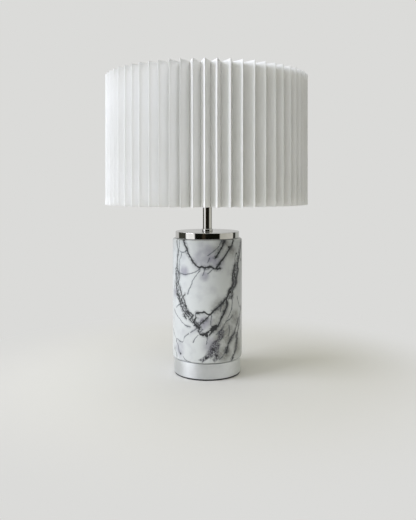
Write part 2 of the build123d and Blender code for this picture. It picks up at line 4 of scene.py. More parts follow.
import bmesh
import bpy
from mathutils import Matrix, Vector


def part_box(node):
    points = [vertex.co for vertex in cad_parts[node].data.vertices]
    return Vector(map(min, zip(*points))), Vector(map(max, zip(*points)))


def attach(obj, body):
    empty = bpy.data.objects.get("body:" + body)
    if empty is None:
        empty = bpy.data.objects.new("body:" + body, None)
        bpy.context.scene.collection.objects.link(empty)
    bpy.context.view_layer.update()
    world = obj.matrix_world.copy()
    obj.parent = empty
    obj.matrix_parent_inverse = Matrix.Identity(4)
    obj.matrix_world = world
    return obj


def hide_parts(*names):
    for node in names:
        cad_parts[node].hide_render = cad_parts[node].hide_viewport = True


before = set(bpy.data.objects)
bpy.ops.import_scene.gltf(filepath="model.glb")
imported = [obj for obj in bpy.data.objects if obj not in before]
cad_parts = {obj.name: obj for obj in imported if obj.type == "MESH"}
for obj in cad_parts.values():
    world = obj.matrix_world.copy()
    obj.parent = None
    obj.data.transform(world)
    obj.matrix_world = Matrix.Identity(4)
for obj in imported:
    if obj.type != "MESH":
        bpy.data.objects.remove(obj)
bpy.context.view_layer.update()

# ---- Foot pad ----
# A 2 mm disc of pressed wool felt, die cut and glued under the base, so that the metal doesn't
# scratch what the lamp stands on. Its cut edge is a little rounded and fuzzy.
FELT_EDGE_EASE = 0.0005
FELT_DARK = (0.012, 0.012, 0.013, 1)
FELT_PALE = (0.040, 0.040, 0.042, 1)
LONGEST_EASE = 0.49  # of the shorter side beside a corner
SHARP_EDGE = math.radians(40)


class Wire:
    """One socket of a shader. Sums and products of it add Math nodes, and node() adds the others."""

    def __init__(self, tree, socket=None):
        self.tree = tree
        self.socket = socket

    def node(self, kind, settings=(), inputs=(), out=0):
        """A new node. Its settings are set first, then the values or links of its sockets."""
        made = self.tree.nodes.new("ShaderNode" + kind)
        for name, value in dict(settings).items():
            if name == "stops":
                while len(made.color_ramp.elements) < len(value):
                    made.color_ramp.elements.new(1)
                for stop, (place, colour) in zip(made.color_ramp.elements, value):
                    stop.position = place
                    stop.color = colour
            elif name == "curve":
                line = made.mapping.curves[0]
                line.points[0].location = value[0]
                line.points[1].location = value[-1]
                for place in value[1:-1]:
                    line.points.new(*place)
                made.mapping.extend = "HORIZONTAL"
                made.mapping.update()
            else:
                setattr(made, name, value)
        for name, value in dict(inputs).items():
            if isinstance(value, Wire):
                self.tree.links.new(value.socket, made.inputs[name])
            else:
                made.inputs[name].default_value = value
        return Wire(self.tree, made.outputs[out] if made.outputs else None)

    def output(self, name):
        return Wire(self.tree, self.socket.node.outputs[name])

    def math(self, operation, *values):
        return self.node("Math", {"operation": operation}, enumerate(values))

    def at_least(self, least):
        return self.math("MAXIMUM", self, least)

    def at_most(self, most):
        return self.math("MINIMUM", self, most)

    def __abs__(self):
        return self.math("ABSOLUTE", self)

    def __add__(self, other):
        return self.math("ADD", self, other)

    def __sub__(self, other):
        return self.math("SUBTRACT", self, other)

    def __rsub__(self, other):
        return self.math("SUBTRACT", other, self)

    def __mul__(self, other):
        return self.math("MULTIPLY", self, other)

    def __truediv__(self, other):
        return self.math("DIVIDE", self, other)

    def __rtruediv__(self, other):
        return self.math("DIVIDE", other, self)

    __radd__ = __add__
    __rmul__ = __mul__


def noise(start, scale, detail=2.0, stretch=(1, 1, 1)):
    """Noise from 0 to 1 that stays on the piece. scale is in features per metre."""
    place = start.node("TexCoord", out="Object")
    place = start.node("VectorMath", {"operation": "MULTIPLY"}, {0: place, 1: stretch})
    return start.node("TexNoise", {}, {"Vector": place, "Scale": scale, "Detail": detail})


def fade(value, start_at, end_at):
    """0 up to start_at, 1 from end_at on, and smooth between them. The two may be either way round."""
    limits = {"Value": value, "From Min": start_at, "From Max": end_at}
    return value.node("MapRange", {"interpolation_type": "SMOOTHSTEP"}, limits)


def tint(share, dark, pale):
    """A colour between two others."""
    return share.node("Mix", {"data_type": "RGBA"}, {0: share, 6: dark, 7: pale}, out=2)


def relief(height, depth):
    """A normal for surface texture that stands up to depth metres proud."""
    return height.node("Bump", {}, {"Height": height, "Distance": depth, "Strength": 1.0})


def finish(name, recipe, through=None):
    """A material whose recipe gives its shader's inputs. Cloth lets a share of the light through."""
    made = bpy.data.materials.new(name)
    made.use_nodes = True
    made.node_tree.nodes.clear()
    start = Wire(made.node_tree)
    inputs = recipe(start)
    shader = start.node("BsdfPrincipled", {}, inputs)
    if through is not None:
        behind = start.node("BsdfTranslucent", {}, {"Color": inputs["Base Color"]})
        shader = start.node("MixShader", {}, {0: through, 1: shader, 2: behind})
    start.node("OutputMaterial", {}, {"Surface": shader})
    return made


def eased(corners, steps):
    """The outline of a section, with each corner (radius, height, ease) rounded by its ease."""
    outline = []
    for index, (radius, height, ease) in enumerate(corners):
        corner = Vector((radius, height))
        before = Vector(corners[index - 1][:2]) - corner
        after = Vector(corners[(index + 1) % len(corners)][:2]) - corner
        if ease == 0:
            outline.append(corner)
            continue
        half_turn = before.angle(after) / 2
        shorter_side = min(before.length, after.length)
        reach = min(ease / math.tan(half_turn), shorter_side * LONGEST_EASE)
        for step in range(steps + 1):
            share = step / steps
            pull_back = before.normalized() * reach * (1 - share) ** 2
            pull_on = after.normalized() * reach * share**2
            outline.append(corner + pull_back + pull_on)
    return outline


def turned(name, corners, material, sides=192, steps=6, closed=True):
    """A piece turned round the Z axis from the corners of its section, added to the scene."""
    form = bmesh.new()
    rings = []
    for radius, height in eased(corners, steps):
        count = sides if radius > 0 else 1
        ring = []
        for side in range(count):
            turn = 2 * math.pi * side / sides
            ring.append(form.verts.new((radius * math.cos(turn), radius * math.sin(turn), height)))
        rings.append(ring)
    next_rings = rings[1:] + (rings[:1] if closed else [])
    for ring, next_ring in zip(rings, next_rings):
        for side in range(sides):
            near = [ring[side % len(ring)], ring[(side + 1) % len(ring)]]
            far = [next_ring[(side + 1) % len(next_ring)], next_ring[side % len(next_ring)]]
            face = list(dict.fromkeys(near + far))  # a triangle where a ring is one point
            if len(face) > 2:
                form.faces.new(face)
    bmesh.ops.recalc_face_normals(form, faces=form.faces)
    mesh = bpy.data.meshes.new(name)
    form.to_mesh(mesh)
    form.free()
    mesh.shade_smooth()
    mesh.set_sharp_from_angle(angle=SHARP_EDGE)
    mesh.materials.append(material)
    piece = bpy.data.objects.new(name, mesh)
    bpy.context.scene.collection.objects.link(piece)
    return piece


def felt_recipe(start):
    fibres = noise(start, 2200, detail=5)
    clumps = noise(start, 260, detail=3)
    return {
        "Base Color": tint(fade(fibres + clumps, 0.75, 1.3), FELT_DARK, FELT_PALE),
        "Roughness": 0.85 + 0.12 * fibres,
        "Sheen Weight": 0.25,
        "Normal": relief(fibres + 0.6 * clumps, 0.0004),
    }


felt = finish("felt", felt_recipe)
pad_low, pad_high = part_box("foot_pad")
foot_felt = turned(
    "foot_felt",
    [
        (0, pad_low.z, 0),
        (pad_high.x, pad_low.z, FELT_EDGE_EASE),
        (pad_high.x, pad_high.z, FELT_EDGE_EASE),
        (0, pad_high.z, 0),
    ],
    felt,
)
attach(foot_felt, "lamp")
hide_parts("foot_pad")

# ---- Base ring ----
# The metal foot of the lamp, turned from steel with a thin wall and nickel plated over a fine
# turned finish, which leaves it satin. The marble column sits on it with a soft gasket between.
SATIN_DARK = (0.74, 0.76, 0.77, 1)
SATIN_PALE = (0.83, 0.85, 0.86, 1)


def dress(node, material):
    """Gives a piece of the frame its finish."""
    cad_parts[node].material_slots[0].material = material


def satin_recipe(start):
    lines = noise(start, 40, detail=4, stretch=(1, 1, 160))
    wear = noise(start, 60, detail=3)
    return {
        "Base Color": tint(fade(wear + 0.4 * lines, 0.5, 0.9), SATIN_DARK, SATIN_PALE),
        "Metallic": 1.0,
        "Roughness": 0.38 + 0.06 * lines + 0.05 * wear,
        "Anisotropic": 0.5,
        "Anisotropic Rotation": 0.25,
        "Normal": relief(lines, 0.00004),
    }


satin_nickel = finish("satin_nickel", satin_recipe)
dress("base_ring", satin_nickel)

# ---- Ballast ----
# A cast iron disc inside the base, which keeps the tall lamp from tipping. It is rough from the
# sand and painted with a thin dark primer, with a recess for the nut and a slot for the cord.
IRON_DARK = (0.028, 0.027, 0.026, 1)
IRON_PALE = (0.075, 0.072, 0.068, 1)


def iron_recipe(start):
    sand = noise(start, 700, detail=4)
    patches = noise(start, 70, detail=3)
    return {
        "Base Color": tint(fade(sand + patches, 0.8, 1.25), IRON_DARK, IRON_PALE),
        "Metallic": 0.3,
        "Roughness": 0.62 + 0.25 * patches,
        "Normal": relief(sand, 0.0005),
    }


dress("ballast_disc", finish("cast_weight", iron_recipe))

# ---- Cord inlet ----
# A black moulded bush in the back of the base, with a flange outside and a hexagonal nut inside,
# which keeps a cord from chafing on the metal. Its faces have the fine grain of the mould.
BLACK_DARK = (0.010, 0.010, 0.011, 1)
BLACK_PALE = (0.024, 0.024, 0.026, 1)


def black_recipe(start):
    grain = noise(start, 2600, detail=3)
    handling = noise(start, 120, detail=2)
    return {
        "Base Color": tint(fade(handling, 0.3, 0.7), BLACK_DARK, BLACK_PALE),
        "Roughness": 0.34 + 0.14 * grain + 0.10 * handling,
        "Normal": relief(grain, 0.00005),
    }


black_moulding = finish("black_moulding", black_recipe)
dress("cord_bush", black_moulding)
dress("cord_bush_nut", black_moulding)

# ---- Tie rod, washers and nuts ----
# A hollow threaded rod runs up the middle and pulls the whole lamp together from a nut under the
# ballast. The small steel pieces are zinc plated, with the faint blue and yellow of passivation.
ZINC_BLUE = (0.52, 0.55, 0.60, 1)
ZINC_WARM = (0.66, 0.64, 0.57, 1)


def zinc_recipe(start):
    sheen = noise(start, 90, detail=4)
    scuffs = noise(start, 900, detail=3, stretch=(1, 1, 0.2))
    return {
        "Base Color": tint(fade(sheen, 0.35, 0.65), ZINC_BLUE, ZINC_WARM),
        "Metallic": 1.0,
        "Roughness": 0.26 + 0.22 * scuffs,
        "Normal": relief(scuffs, 0.00004),
    }


zinc_steel = finish("zinc_steel", zinc_recipe)
for rod_piece in ("threaded_tube", "bottom_washer", "lock_washer", "bottom_nut"):
    dress(rod_piece, zinc_steel)
for screw in ("grub_screw", "terminal_screws"):
    dress(screw, zinc_steel)

# ---- Gaskets ----
# Two thin washers of black rubber, cut from sheet, under and on top of the marble. They stop the
# hard faces from grinding on each other, and the lower one shows as a thin dark line.
RUBBER_DARK = (0.008, 0.008, 0.008, 1)
RUBBER_PALE = (0.022, 0.022, 0.021, 1)


def rubber_recipe(start):
    bloom = noise(start, 300, detail=4)
    return {
        "Base Color": tint(fade(bloom, 0.4, 0.75), RUBBER_DARK, RUBBER_PALE),
        "Roughness": 0.62 + 0.3 * bloom,
        "Normal": relief(bloom, 0.00008),
    }


rubber = finish("rubber", rubber_recipe)
dress("lower_gasket", rubber)
dress("upper_gasket", rubber)

# ---- Marble column ----
# One length of white marble, core drilled, turned round and polished, with both ends eased. Nearly
# black veins run down it in a large open loop with a knot below the middle. Finer ones branch off,
# two braids of strands lie beside the loop, and clouds of lilac and grey lie between. The grey and
# olive clouds on the right side, which is in shade, are partly painted shade.
COLUMN_BORE_RADIUS = 0.010
COLUMN_EDGE_EASE = 0.0035
COLUMN_BORE_EASE = 0.0006
MARBLE_WHITE = (0.630, 0.650, 0.640, 1)
MARBLE_LILAC = (0.32, 0.313, 0.36, 1)
# The olive grey is partly the stone's tone and partly painted shade on the right side.
MARBLE_OLIVE_SHADE = (0.24, 0.24, 0.22, 1)
MARBLE_GREY = (0.14, 0.148, 0.16, 1)
MARBLE_THREAD = (0.085, 0.095, 0.11, 1)
MARBLE_PURPLE = (0.040, 0.034, 0.050, 1)
MARBLE_VEIN = (0.016, 0.017, 0.019, 1)
MARBLE_SPAN = 200.0  # millimetres of the face that one vein curve covers, along and across

# Where the veins run on the front face, in millimetres: to the right of the middle, measured
# round the column, and up from its foot. Each list runs one way along its longer direction.
BOLD_VEINS = (
    (
        (-37.5, 174.5), (-34.5, 167.5), (-31, 161.5), (-28.5, 156), (-24.5, 150), (-20.5, 144),
        (-17, 140.5), (-11, 137),
    ),
    (
        (-11, 137), (-7, 138), (-3, 136.5), (1.5, 137.5), (6, 137.5), (9, 135.5), (13, 134.5),
        (18.5, 135.5),
    ),
    ((42.5, 174.5), (39, 168), (33.5, 161.5), (27.5, 154), (22, 147.5), (17.5, 142), (12.5, 135.5)),
    ((25.5, 175.5), (23.5, 168.5), (19.5, 162), (15.5, 156), (11.5, 150.5)),
    (
        (66, 169.5), (59.5, 153), (54.5, 143.5), (52, 136.5), (54, 129), (50.5, 123), (48.5, 116),
        (48, 110.5), (44, 106),
    ),
    ((45, 139.5), (42.5, 131), (40.5, 121), (41, 112), (38, 105), (34, 102)),
    (
        (37.5, 105), (34, 103.5), (33, 97.5), (29.5, 92.5), (25.5, 89), (20.5, 83.5), (14, 79),
        (8.5, 75), (5.5, 71),
    ),
    (
        (29.5, 91.5), (29, 89.5), (30, 84.5), (28.5, 77.5), (25.5, 73.5), (24, 69.5), (21, 65),
        (18, 58.5), (14, 52.5),
    ),
    ((-16, 71.5), (-12, 72.5), (-7.5, 73), (-4, 73.5), (-1, 71.5), (1.5, 70.5), (5.5, 71)),
    ((-16, 65.5), (-18, 62), (-19.5, 58), (-16.5, 55.5), (-12.5, 52.5), (-11, 49.5)),
    (
        (-12.5, 46.5), (-11.5, 42.5), (-8, 41.5), (-4.5, 41.5), (-2, 43), (1.5, 46), (4.5, 48.5),
        (9, 50.5), (13, 51.5),
    ),
)
STRONG_VEINS = (
    (
        (-53.5, 173.5), (-52, 166.5), (-49.5, 158.5), (-49.5, 154.5), (-51.5, 146), (-53, 136.5),
        (-49, 128.5), (-46, 123), (-46.5, 118), (-49, 112),
    ),
    (
        (-49, 112), (-45.5, 106), (-43, 100), (-40, 94), (-36.5, 90), (-34, 84), (-32.5, 78.5),
        (-30.5, 74.5), (-23, 70), (-21, 68),
    ),
    (
        (-54, 111), (-53.5, 106), (-53, 100), (-47.5, 92), (-46.5, 87), (-42, 79.5), (-39, 75),
        (-33.5, 69), (-27, 65.5),
    ),
    ((-21, 68), (-22, 65.5), (-25, 63), (-23.5, 59.5), (-21, 57.5)),
    ((-35, 96.5), (-38, 93), (-41.5, 88.5), (-44, 85)),
    ((-36, 68), (-35, 65), (-31.5, 63)),
    ((-32, 73), (-29.5, 71), (-27, 70), (-25, 67.5)),
    ((-18.5, 54.5), (-15.5, 57.5), (-12.5, 56.5), (-11, 54.5), (-10.5, 51)),
    ((42.5, 131.5), (44.5, 124), (47.5, 118)),
    ((44, 106), (41.5, 102.5), (40, 98), (39, 91)),
    (
        (64, 75.5), (61, 66), (52.5, 54.5), (48, 47.5), (44.5, 40), (39, 36.5), (36, 31), (32.5, 26.5),
        (30, 20.5), (29, 15),
    ),
    (
        (59.5, 60.5), (56, 49.5), (53.5, 42.5), (50.5, 36), (50, 29), (48.5, 22), (45.5, 13),
        (41.5, 6.5), (38, 1),
    ),
    ((5.5, 70.5), (2.5, 69), (0.5, 66), (-3, 64.5), (-4.5, 61.5), (-8, 59), (-11, 55.5)),
    ((0, 43.5), (0.5, 38.5)),
    ((6.5, 46), (5, 43.5), (3, 41.5)),
)
FINE_VEINS = (
    ((-46, 174), (-46, 167), (-47, 162), (-49, 158)),
    ((-46, 159), (-41, 157), (-37.5, 157), (-32, 159.5)),
    ((-41.5, 155.5), (-42.5, 151), (-44.5, 147.5)),
    ((-46, 146.5), (-46.5, 139.5), (-47, 133.5), (-46, 128.5)),
    ((21, 174), (16, 165.5), (11.5, 161.5), (6, 157.5), (0.5, 153.5)),
    ((3.5, 150.5), (2.5, 147.5), (0.5, 144)),
    (
        (-46, 127.5), (-39.5, 125.5), (-33, 125.5), (-25, 127.5), (-18.5, 129.5), (-14.5, 132),
        (-11, 135),
    ),
    ((-10.5, 134), (-13, 129), (-16, 125), (-20.5, 119), (-23.5, 112), (-27, 104.5), (-29.5, 97.5)),
    ((-3.5, 135.5), (-5, 130), (-7, 125.5)),
    ((8.5, 135), (5, 131.5), (0.5, 127.5)),
    ((-55.5, 124.5), (-54.5, 122), (-52, 119), (-49.5, 115.5), (-49, 112)),
    ((-60, 114.5), (-61, 106.5), (-61.5, 101.5), (-56.5, 96.5), (-53, 92), (-48, 88)),
    ((-44, 81.5), (-49.5, 79), (-54, 75)),
    (
        (-67, 79.5), (-64.5, 73.5), (-59.5, 69.5), (-53, 64.5), (-46.5, 61), (-38, 55), (-33, 52.5),
        (-25, 51.5),
    ),
    ((5.5, 70.5), (5.5, 66.5), (5, 62.5), (4.5, 58.5), (5, 55), (6.5, 52)),
    ((20.5, 83), (20, 78), (19, 73)),
    ((39, 91), (39.5, 82), (38.5, 76), (36, 71), (31, 63)),
    ((40.5, 66), (34, 61), (28, 58.5), (24, 53), (21, 49.5), (16.5, 44), (12.5, 42)),
    (
        (-72, 43), (-67, 40), (-61, 34), (-53.5, 29), (-54.5, 26), (-50.5, 23), (-48.5, 18), (-47, 12),
        (-43, 9.5),
    ),
    ((-52, 30.5), (-49, 29.5), (-45, 28), (-38, 28.5), (-36.5, 34), (-32, 38.5), (-28, 41.5)),
    ((-25, 43.5), (-22.5, 45), (-17.5, 48.5), (-13.5, 52)),
    ((-60, 18), (-59.5, 13.5), (-53.5, 7.5), (-53, 3)),
    ((-37.5, 7), (-34.5, 4), (-30.5, 2), (-25.5, 1)),
    ((-13.5, 40.5), (-17, 36), (-21, 30)),
    ((0, 38), (-0.5, 33), (-1.5, 28)),
    ((-6.5, 49.5), (-8, 47.5), (-10, 45)),
    ((28.5, 15), (25, 13), (22, 8.5), (17, 6.5)),
    ((51.5, 91.5), (55.5, 82), (59.5, 75)),
    ((49.5, 155), (46, 150.5), (45.5, 139.5)),
    ((-16, 71.5), (-17, 68.5), (-16, 65.5)),
    ((24, 52), (22, 48.5), (17, 45.5), (14, 42.5)),
    ((33.5, 53), (34, 46), (32.5, 37.5)),
)
CLOUDY_VEINS = (
    (
        (21, 45.5), (20.5, 41.5), (19, 36.5), (13.5, 32), (9.5, 27), (7.5, 21.5), (3.5, 14.5), (-2, 9),
        (-7.5, 5.5),
    ),
    ((15.5, 27.5), (13, 20.5), (12.5, 15), (14, 10.5), (10.5, 6.5)),
    ((10, 22), (6, 17.5), (4.5, 11)),
)
# The middles of the two braids, where strands run side by side in a grey band.
BRAIDS = (
    (
        (-54.5, 132.5), (-53, 122.5), (-53, 108), (-48.5, 95.5), (-41.5, 85), (-34.5, 76),
        (-27.5, 67.5), (-20, 60.5), (-15, 53.5),
    ),
    ((64, 168.5), (56, 150), (50, 137.5), (46, 123.5), (43.5, 112.5), (37, 103), (33.5, 93.5)),
)
# Dark smudges where veins meet, then clouds. Each has its place, right and up, and its reach.
DARK_SMUDGES = (
    (9.5, 50.5, 6), (12, 53, 3.5), (6.5, 48, 3.5), (21, 65, 3), (25, 73.5, 2), (5.5, 71, 2),
    (49, 154, 2.5), (33.5, 165, 3), (-32.5, 80, 3), (-52, 95, 3.5), (-39.5, 84, 2), (36, 99.5, 3.5),
    (-15.5, 54.5, 3), (-56, 124, 2), (-1, 41, 4), (-6, 41.5, 3.5), (-3, 136.5, 2), (65, 144, 3.5),
    (13.5, 12, 3), (9.5, 20.5, 3.5), (-2, 9, 3), (29.5, 85, 2), (-60, 15, 2.5), (-43.5, 10, 2.5),
)
LILAC_CLOUDS = (
    (-4, 152, 27), (14, 146, 16), (-4, 124, 10), (-3, 60, 15), (-36, 131, 11), (4, 26, 18),
    (-58, 98, 12), (-46, 18, 15),
)
# Grey and olive clouds, all on the right side, which lies in shade: partly the stone's own clouds and
# partly painted shade.
GREY_CLOUDS_AND_SHADE = (
    (24, 164, 22), (20, 76, 22), (19, 56, 22), (19, 36, 14), (37, 158, 15), (31, 38, 24),
    (46, 62, 16), (26, 14, 18), (52, 20, 16), (44, 112, 12),
)

# The veins wander a little, and each strand of them shakes. The back repeats the front as a mirror
# does, and past SIDE_TURN it is drawn out and shaken more and more, so that it looks like another
# face of the same block, with no seam at the sides.
WANDER = 2.5  # millimetres
STRAND_SHAKE = 2.0  # millimetres
SIDE_TURN = 1.35  # radians from the front
SIDE_SHAKE = 110.0  # millimetres for each radian past SIDE_TURN
BACK_LIFT = 52.0  # millimetres for each radian past the side
PATTERN_TOP = 178.0  # millimetres, where the lifted pattern turns back down
NET_SHAKE = (0.006, 0.006, 0.006)
CRACKS_PER_METRE = 230
GRIT_PER_METRE = 420
MM_PER_METRE = 1000


def vein_distance(across, up, route):
    """How far a point of the face lies from one vein, in millimetres."""
    widths = [place[0] for place in route]
    heights = [place[1] for place in route]
    width = max(widths) - min(widths)
    height = max(heights) - min(heights)
    upright = height >= width
    along, aside = (up, across) if upright else (across, up)
    places = []
    for right, above in route:
        flat = (right / MARBLE_SPAN + 0.5, above / MARBLE_SPAN)
        places.append((flat[1], flat[0]) if upright else flat)
    places.sort()
    line = along.node("FloatCurve", {"curve": places}, {"Value": along})
    lean = max(width, height) / math.hypot(width, height)
    beside = abs(aside - line) * lean
    middle = (places[0][0] + places[-1][0]) / 2
    reach = (places[-1][0] - places[0][0]) / 2
    beyond = (abs(along - middle) - reach).at_least(0.0)
    return (beside + beyond) * MARBLE_SPAN


def nearest_vein(across, up, routes):
    """How far a point of the face lies from the nearest of several veins, in millimetres."""
    nearest = vein_distance(across, up, routes[0])
    for route in routes[1:]:
        nearest = nearest.at_most(vein_distance(across, up, route))
    return nearest


def smudge(across, up, places):
    """1 in the middle of soft round smudges, and 0 outside them."""
    total = None
    for right, above, reach in places:
        beside = across - (right / MARBLE_SPAN + 0.5)
        over = up - above / MARBLE_SPAN
        square = beside * beside + over * over
        spot = fade(square.math("SQRT", square), reach / MARBLE_SPAN, reach * 0.25 / MARBLE_SPAN)
        total = spot if total is None else total.at_least(spot)
    return total


def coordinates(start, kind="Object"):
    """The three coordinates of a place on the piece, or of the kind of place that is named."""
    place = start.node("TexCoord", out=kind)
    split = start.node("SeparateXYZ", {}, {0: place})
    return [split.output(axis) for axis in "XYZ"]


def two_noises(start, scale, detail):
    """Two noises around 0, one to move a place across and one to move it up."""
    split = start.node("SeparateColor", {}, {0: noise(start, scale, detail).output("Color")})
    return split - 0.5, split.output("Green") - 0.5


def place_among_veins(start):
    """How far across and up a point of the column lies among the veins, in shares of MARBLE_SPAN."""
    east, north, height = coordinates(start)
    turn = start.math("ARCTAN2", east, 0 - north)
    half = abs(turn)
    back = (half - math.pi / 2).at_least(0.0)
    aside = (half - SIDE_TURN).at_least(0.0)
    folded = turn.math("SIGN", turn) * (half - 2 * back)
    shake_across, shake_up = two_noises(start, 16, detail=1)
    wander_across, wander_up = two_noises(start, 85, detail=2)
    strand_across, strand_up = two_noises(start, 330, detail=2)
    across = folded * (column_high.x * MM_PER_METRE)
    across = across + wander_across * WANDER + strand_across * STRAND_SHAKE
    across = across + shake_across * SIDE_SHAKE * aside
    up = (height - column_low.z) * MM_PER_METRE
    up = up + wander_up * WANDER + strand_up * STRAND_SHAKE
    up = up + shake_up * SIDE_SHAKE * aside + BACK_LIFT * back
    up = up.math("PINGPONG", up, PATTERN_TOP)
    return across / MARBLE_SPAN + 0.5, up / MARBLE_SPAN


def shaken_place(start):
    """A place on the piece, moved a little at random, so that the net of cracks isn't neat."""
    place = start.node("TexCoord", out="Object")
    shake = noise(start, 160, detail=2).output("Color")
    shake = start.node("VectorMath", {"operation": "MULTIPLY"}, {0: shake, 1: NET_SHAKE})
    return start.node("VectorMath", {"operation": "ADD"}, {0: place, 1: shake})


def cracks(start, scale):
    """How far a point lies from the nearest crack of a fine net, in cells of the net."""
    inputs = {"Vector": shaken_place(start), "Scale": scale}
    return start.node("TexVoronoi", {"feature": "DISTANCE_TO_EDGE"}, inputs)


def marble_recipe(start):
    across, up = place_among_veins(start)
    patches = noise(start, 55, detail=3)
    crumbs = noise(start, 420, detail=3)
    beads = noise(start, 250, detail=2)

    # How far off the veins of each kind are, with ragged edges, and where the clouds lie.
    ragged = (crumbs - 0.5) * 1.2
    bold = nearest_vein(across, up, BOLD_VEINS) + ragged
    strong = nearest_vein(across, up, STRONG_VEINS) + ragged * 0.7
    fine = nearest_vein(across, up, FINE_VEINS) + ragged * 0.4
    cloudy = nearest_vein(across, up, CLOUDY_VEINS) + ragged
    braid = nearest_vein(across, up, BRAIDS) + ragged * 2
    heavy = bold.at_most(strong)
    smudges = smudge(across, up, DARK_SMUDGES)
    clouds = smudge(across, up, LILAC_CLOUDS)
    smoke_and_shade = smudge(across, up, GREY_CLOUDS_AND_SHADE)

    # The lines themselves, which swell, thin out and break, and the net of cracks between them.
    bold_core = fade(bold / (0.55 + 1.3 * beads), 1.45, 0.5)
    strong_core = fade(strong / (0.40 + 1.1 * beads), 1.4, 0.4) * fade(crumbs, 0.2, 0.42)
    fine_core = fade(fine / (0.28 + 0.8 * beads), 1.5, 0.4) * fade(crumbs, 0.2, 0.48)
    meshed = fade(heavy, 5.0, 1.0) * fade(patches, 0.35, 0.6)
    meshed = meshed.at_least(fade(braid, 5.5, 3.0))
    net = fade(cracks(start, CRACKS_PER_METRE), 0.18, 0.04) * meshed
    blots = fade(smudges + 1.3 * (crumbs - 0.5), 0.4, 0.62)
    grit = fade(cracks(start, GRIT_PER_METRE) - 0.6 * (crumbs - 0.5), 0.20, 0.05)
    mottle = fade(cloudy, 5.5, 1.5) * grit
    darks = bold_core + strong_core * 0.9 + net * 0.75 + blots * 0.95
    darks = darks.at_most(0.97)

    # The grey that the veins leave in the stone beside them, deeper in the grey clouds on the right,
    # which are partly painted shade.
    halo = fade(heavy, 6.0, 0.5) * (0.55 * fade(patches + 0.4 * crumbs, 0.45, 0.95) + 0.5 * smoke_and_shade)
    fine_halo = fade(fine, 3.0, 0.3) * fade(patches, 0.3, 0.7)
    band = fade(cloudy, 6.5, 2.0) * 0.55
    band = band + fade(braid, 6.0, 2.0) * (0.10 + 0.5 * fade(crumbs, 0.4, 0.65))
    greys = halo + fine_halo * 0.3 + band

    # The colours, from the white stone by its clouds to the darkest veins.
    lilac = fade(patches, 0.45, 0.75) * 0.3 + clouds * 0.7 * fade(patches, 0.15, 0.55)
    # Olive grey over the right side, partly the stone's tone and partly painted shade.
    olive_and_shade = smoke_and_shade * (0.35 + 0.6 * fade(patches + 0.5 * crumbs, 0.5, 0.95))
    colour = tint(lilac.at_most(1.0), MARBLE_WHITE, MARBLE_LILAC)
    colour = tint(olive_and_shade, colour, MARBLE_OLIVE_SHADE)
    colour = tint(greys.at_most(0.9), colour, MARBLE_GREY)
    colour = tint(fine_core * 0.8, colour, MARBLE_THREAD)
    colour = tint(mottle * 0.95, colour, MARBLE_PURPLE)
    return {
        "Base Color": tint(darks, colour, MARBLE_VEIN),
        "Roughness": 0.16 + 0.14 * darks + 0.06 * crumbs,
        "Specular IOR Level": 0.45,
        "Normal": relief(crumbs, 0.00001),
    }


column_low, column_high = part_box("marble_column")
marble_column = turned(
    "veined_column",
    [
        (COLUMN_BORE_RADIUS, column_low.z, COLUMN_BORE_EASE),
        (column_high.x, column_low.z, COLUMN_EDGE_EASE),
        (column_high.x, column_high.z, COLUMN_EDGE_EASE),
        (COLUMN_BORE_RADIUS, column_high.z, COLUMN_BORE_EASE),
    ],
    finish("marble", marble_recipe),
    sides=256,
    steps=10,
)
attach(marble_column, "lamp")
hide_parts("marble_column")

# ---- Top cap ----
# A turned disc that closes the column and spreads the pull of the tie rod over the marble. It is
# nickel plated and polished to a mirror, with a crisp bright edge above and below.
CAP_EDGE_EASE = 0.0007
CAP_RELIEF_EASE = 0.0005
DEBURRED = 0.0003
BORE_EASE = 0.0002
CAP_BORE_RADIUS = 0.0054
CAP_LAND = 0.0065
CAP_HUB_RADIUS = 0.015
CAP_RELIEF_DEPTH = 0.005
MIRROR_DARK = (0.70, 0.69, 0.67, 1)
MIRROR_PALE = (0.77, 0.765, 0.75, 1)


def mirror_recipe(start):
    haze = noise(start, 45, detail=3)
    swirls = noise(start, 260, detail=4, stretch=(1, 1, 0.3))
    return {
        "Base Color": tint(fade(haze, 0.3, 0.7), MIRROR_DARK, MIRROR_PALE),
        "Metallic": 1.0,
        "Roughness": 0.035 + 0.05 * haze * swirls,
        "Normal": relief(swirls, 0.000003),
    }


polished_nickel = finish("polished_nickel", mirror_recipe)
cap_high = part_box("top_cap")[1]
cap_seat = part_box("upper_gasket")[1].z
cap_relief = cap_seat + CAP_RELIEF_DEPTH
cap_disc = turned(
    "cap_disc",
    [
        (CAP_BORE_RADIUS, cap_seat, 0),
        (CAP_HUB_RADIUS, cap_seat, DEBURRED),
        (CAP_HUB_RADIUS, cap_relief, CAP_RELIEF_EASE),
        (cap_high.x - CAP_LAND, cap_relief, CAP_RELIEF_EASE),
        (cap_high.x - CAP_LAND, cap_seat, DEBURRED),
        (cap_high.x, cap_seat, CAP_EDGE_EASE),
        (cap_high.x, cap_high.z, CAP_EDGE_EASE),
        (CAP_BORE_RADIUS, cap_high.z, BORE_EASE),
    ],
    polished_nickel,
    sides=256,
)
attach(cap_disc, "lamp")
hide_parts("top_cap")

# ---- Stem ----
# A small turned collar and a length of seamless tube slide over the tie rod and hold the lamp
# holder above the cap. Both are plated and polished like the cap.
COLLAR_TOP_EASE = 0.0012
COLLAR_BORE_RADIUS = 0.0054
STEM_WALL = 0.0017

collar_low, collar_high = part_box("stem_collar")
collar = turned(
    "collar_ring",
    [
        (COLLAR_BORE_RADIUS, collar_low.z, 0),
        (collar_high.x, collar_low.z, DEBURRED),
        (collar_high.x, collar_high.z, COLLAR_TOP_EASE),
        (COLLAR_BORE_RADIUS, collar_high.z, BORE_EASE),
    ],
    polished_nickel,
    sides=128,
)
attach(collar, "lamp")
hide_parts("stem_collar")

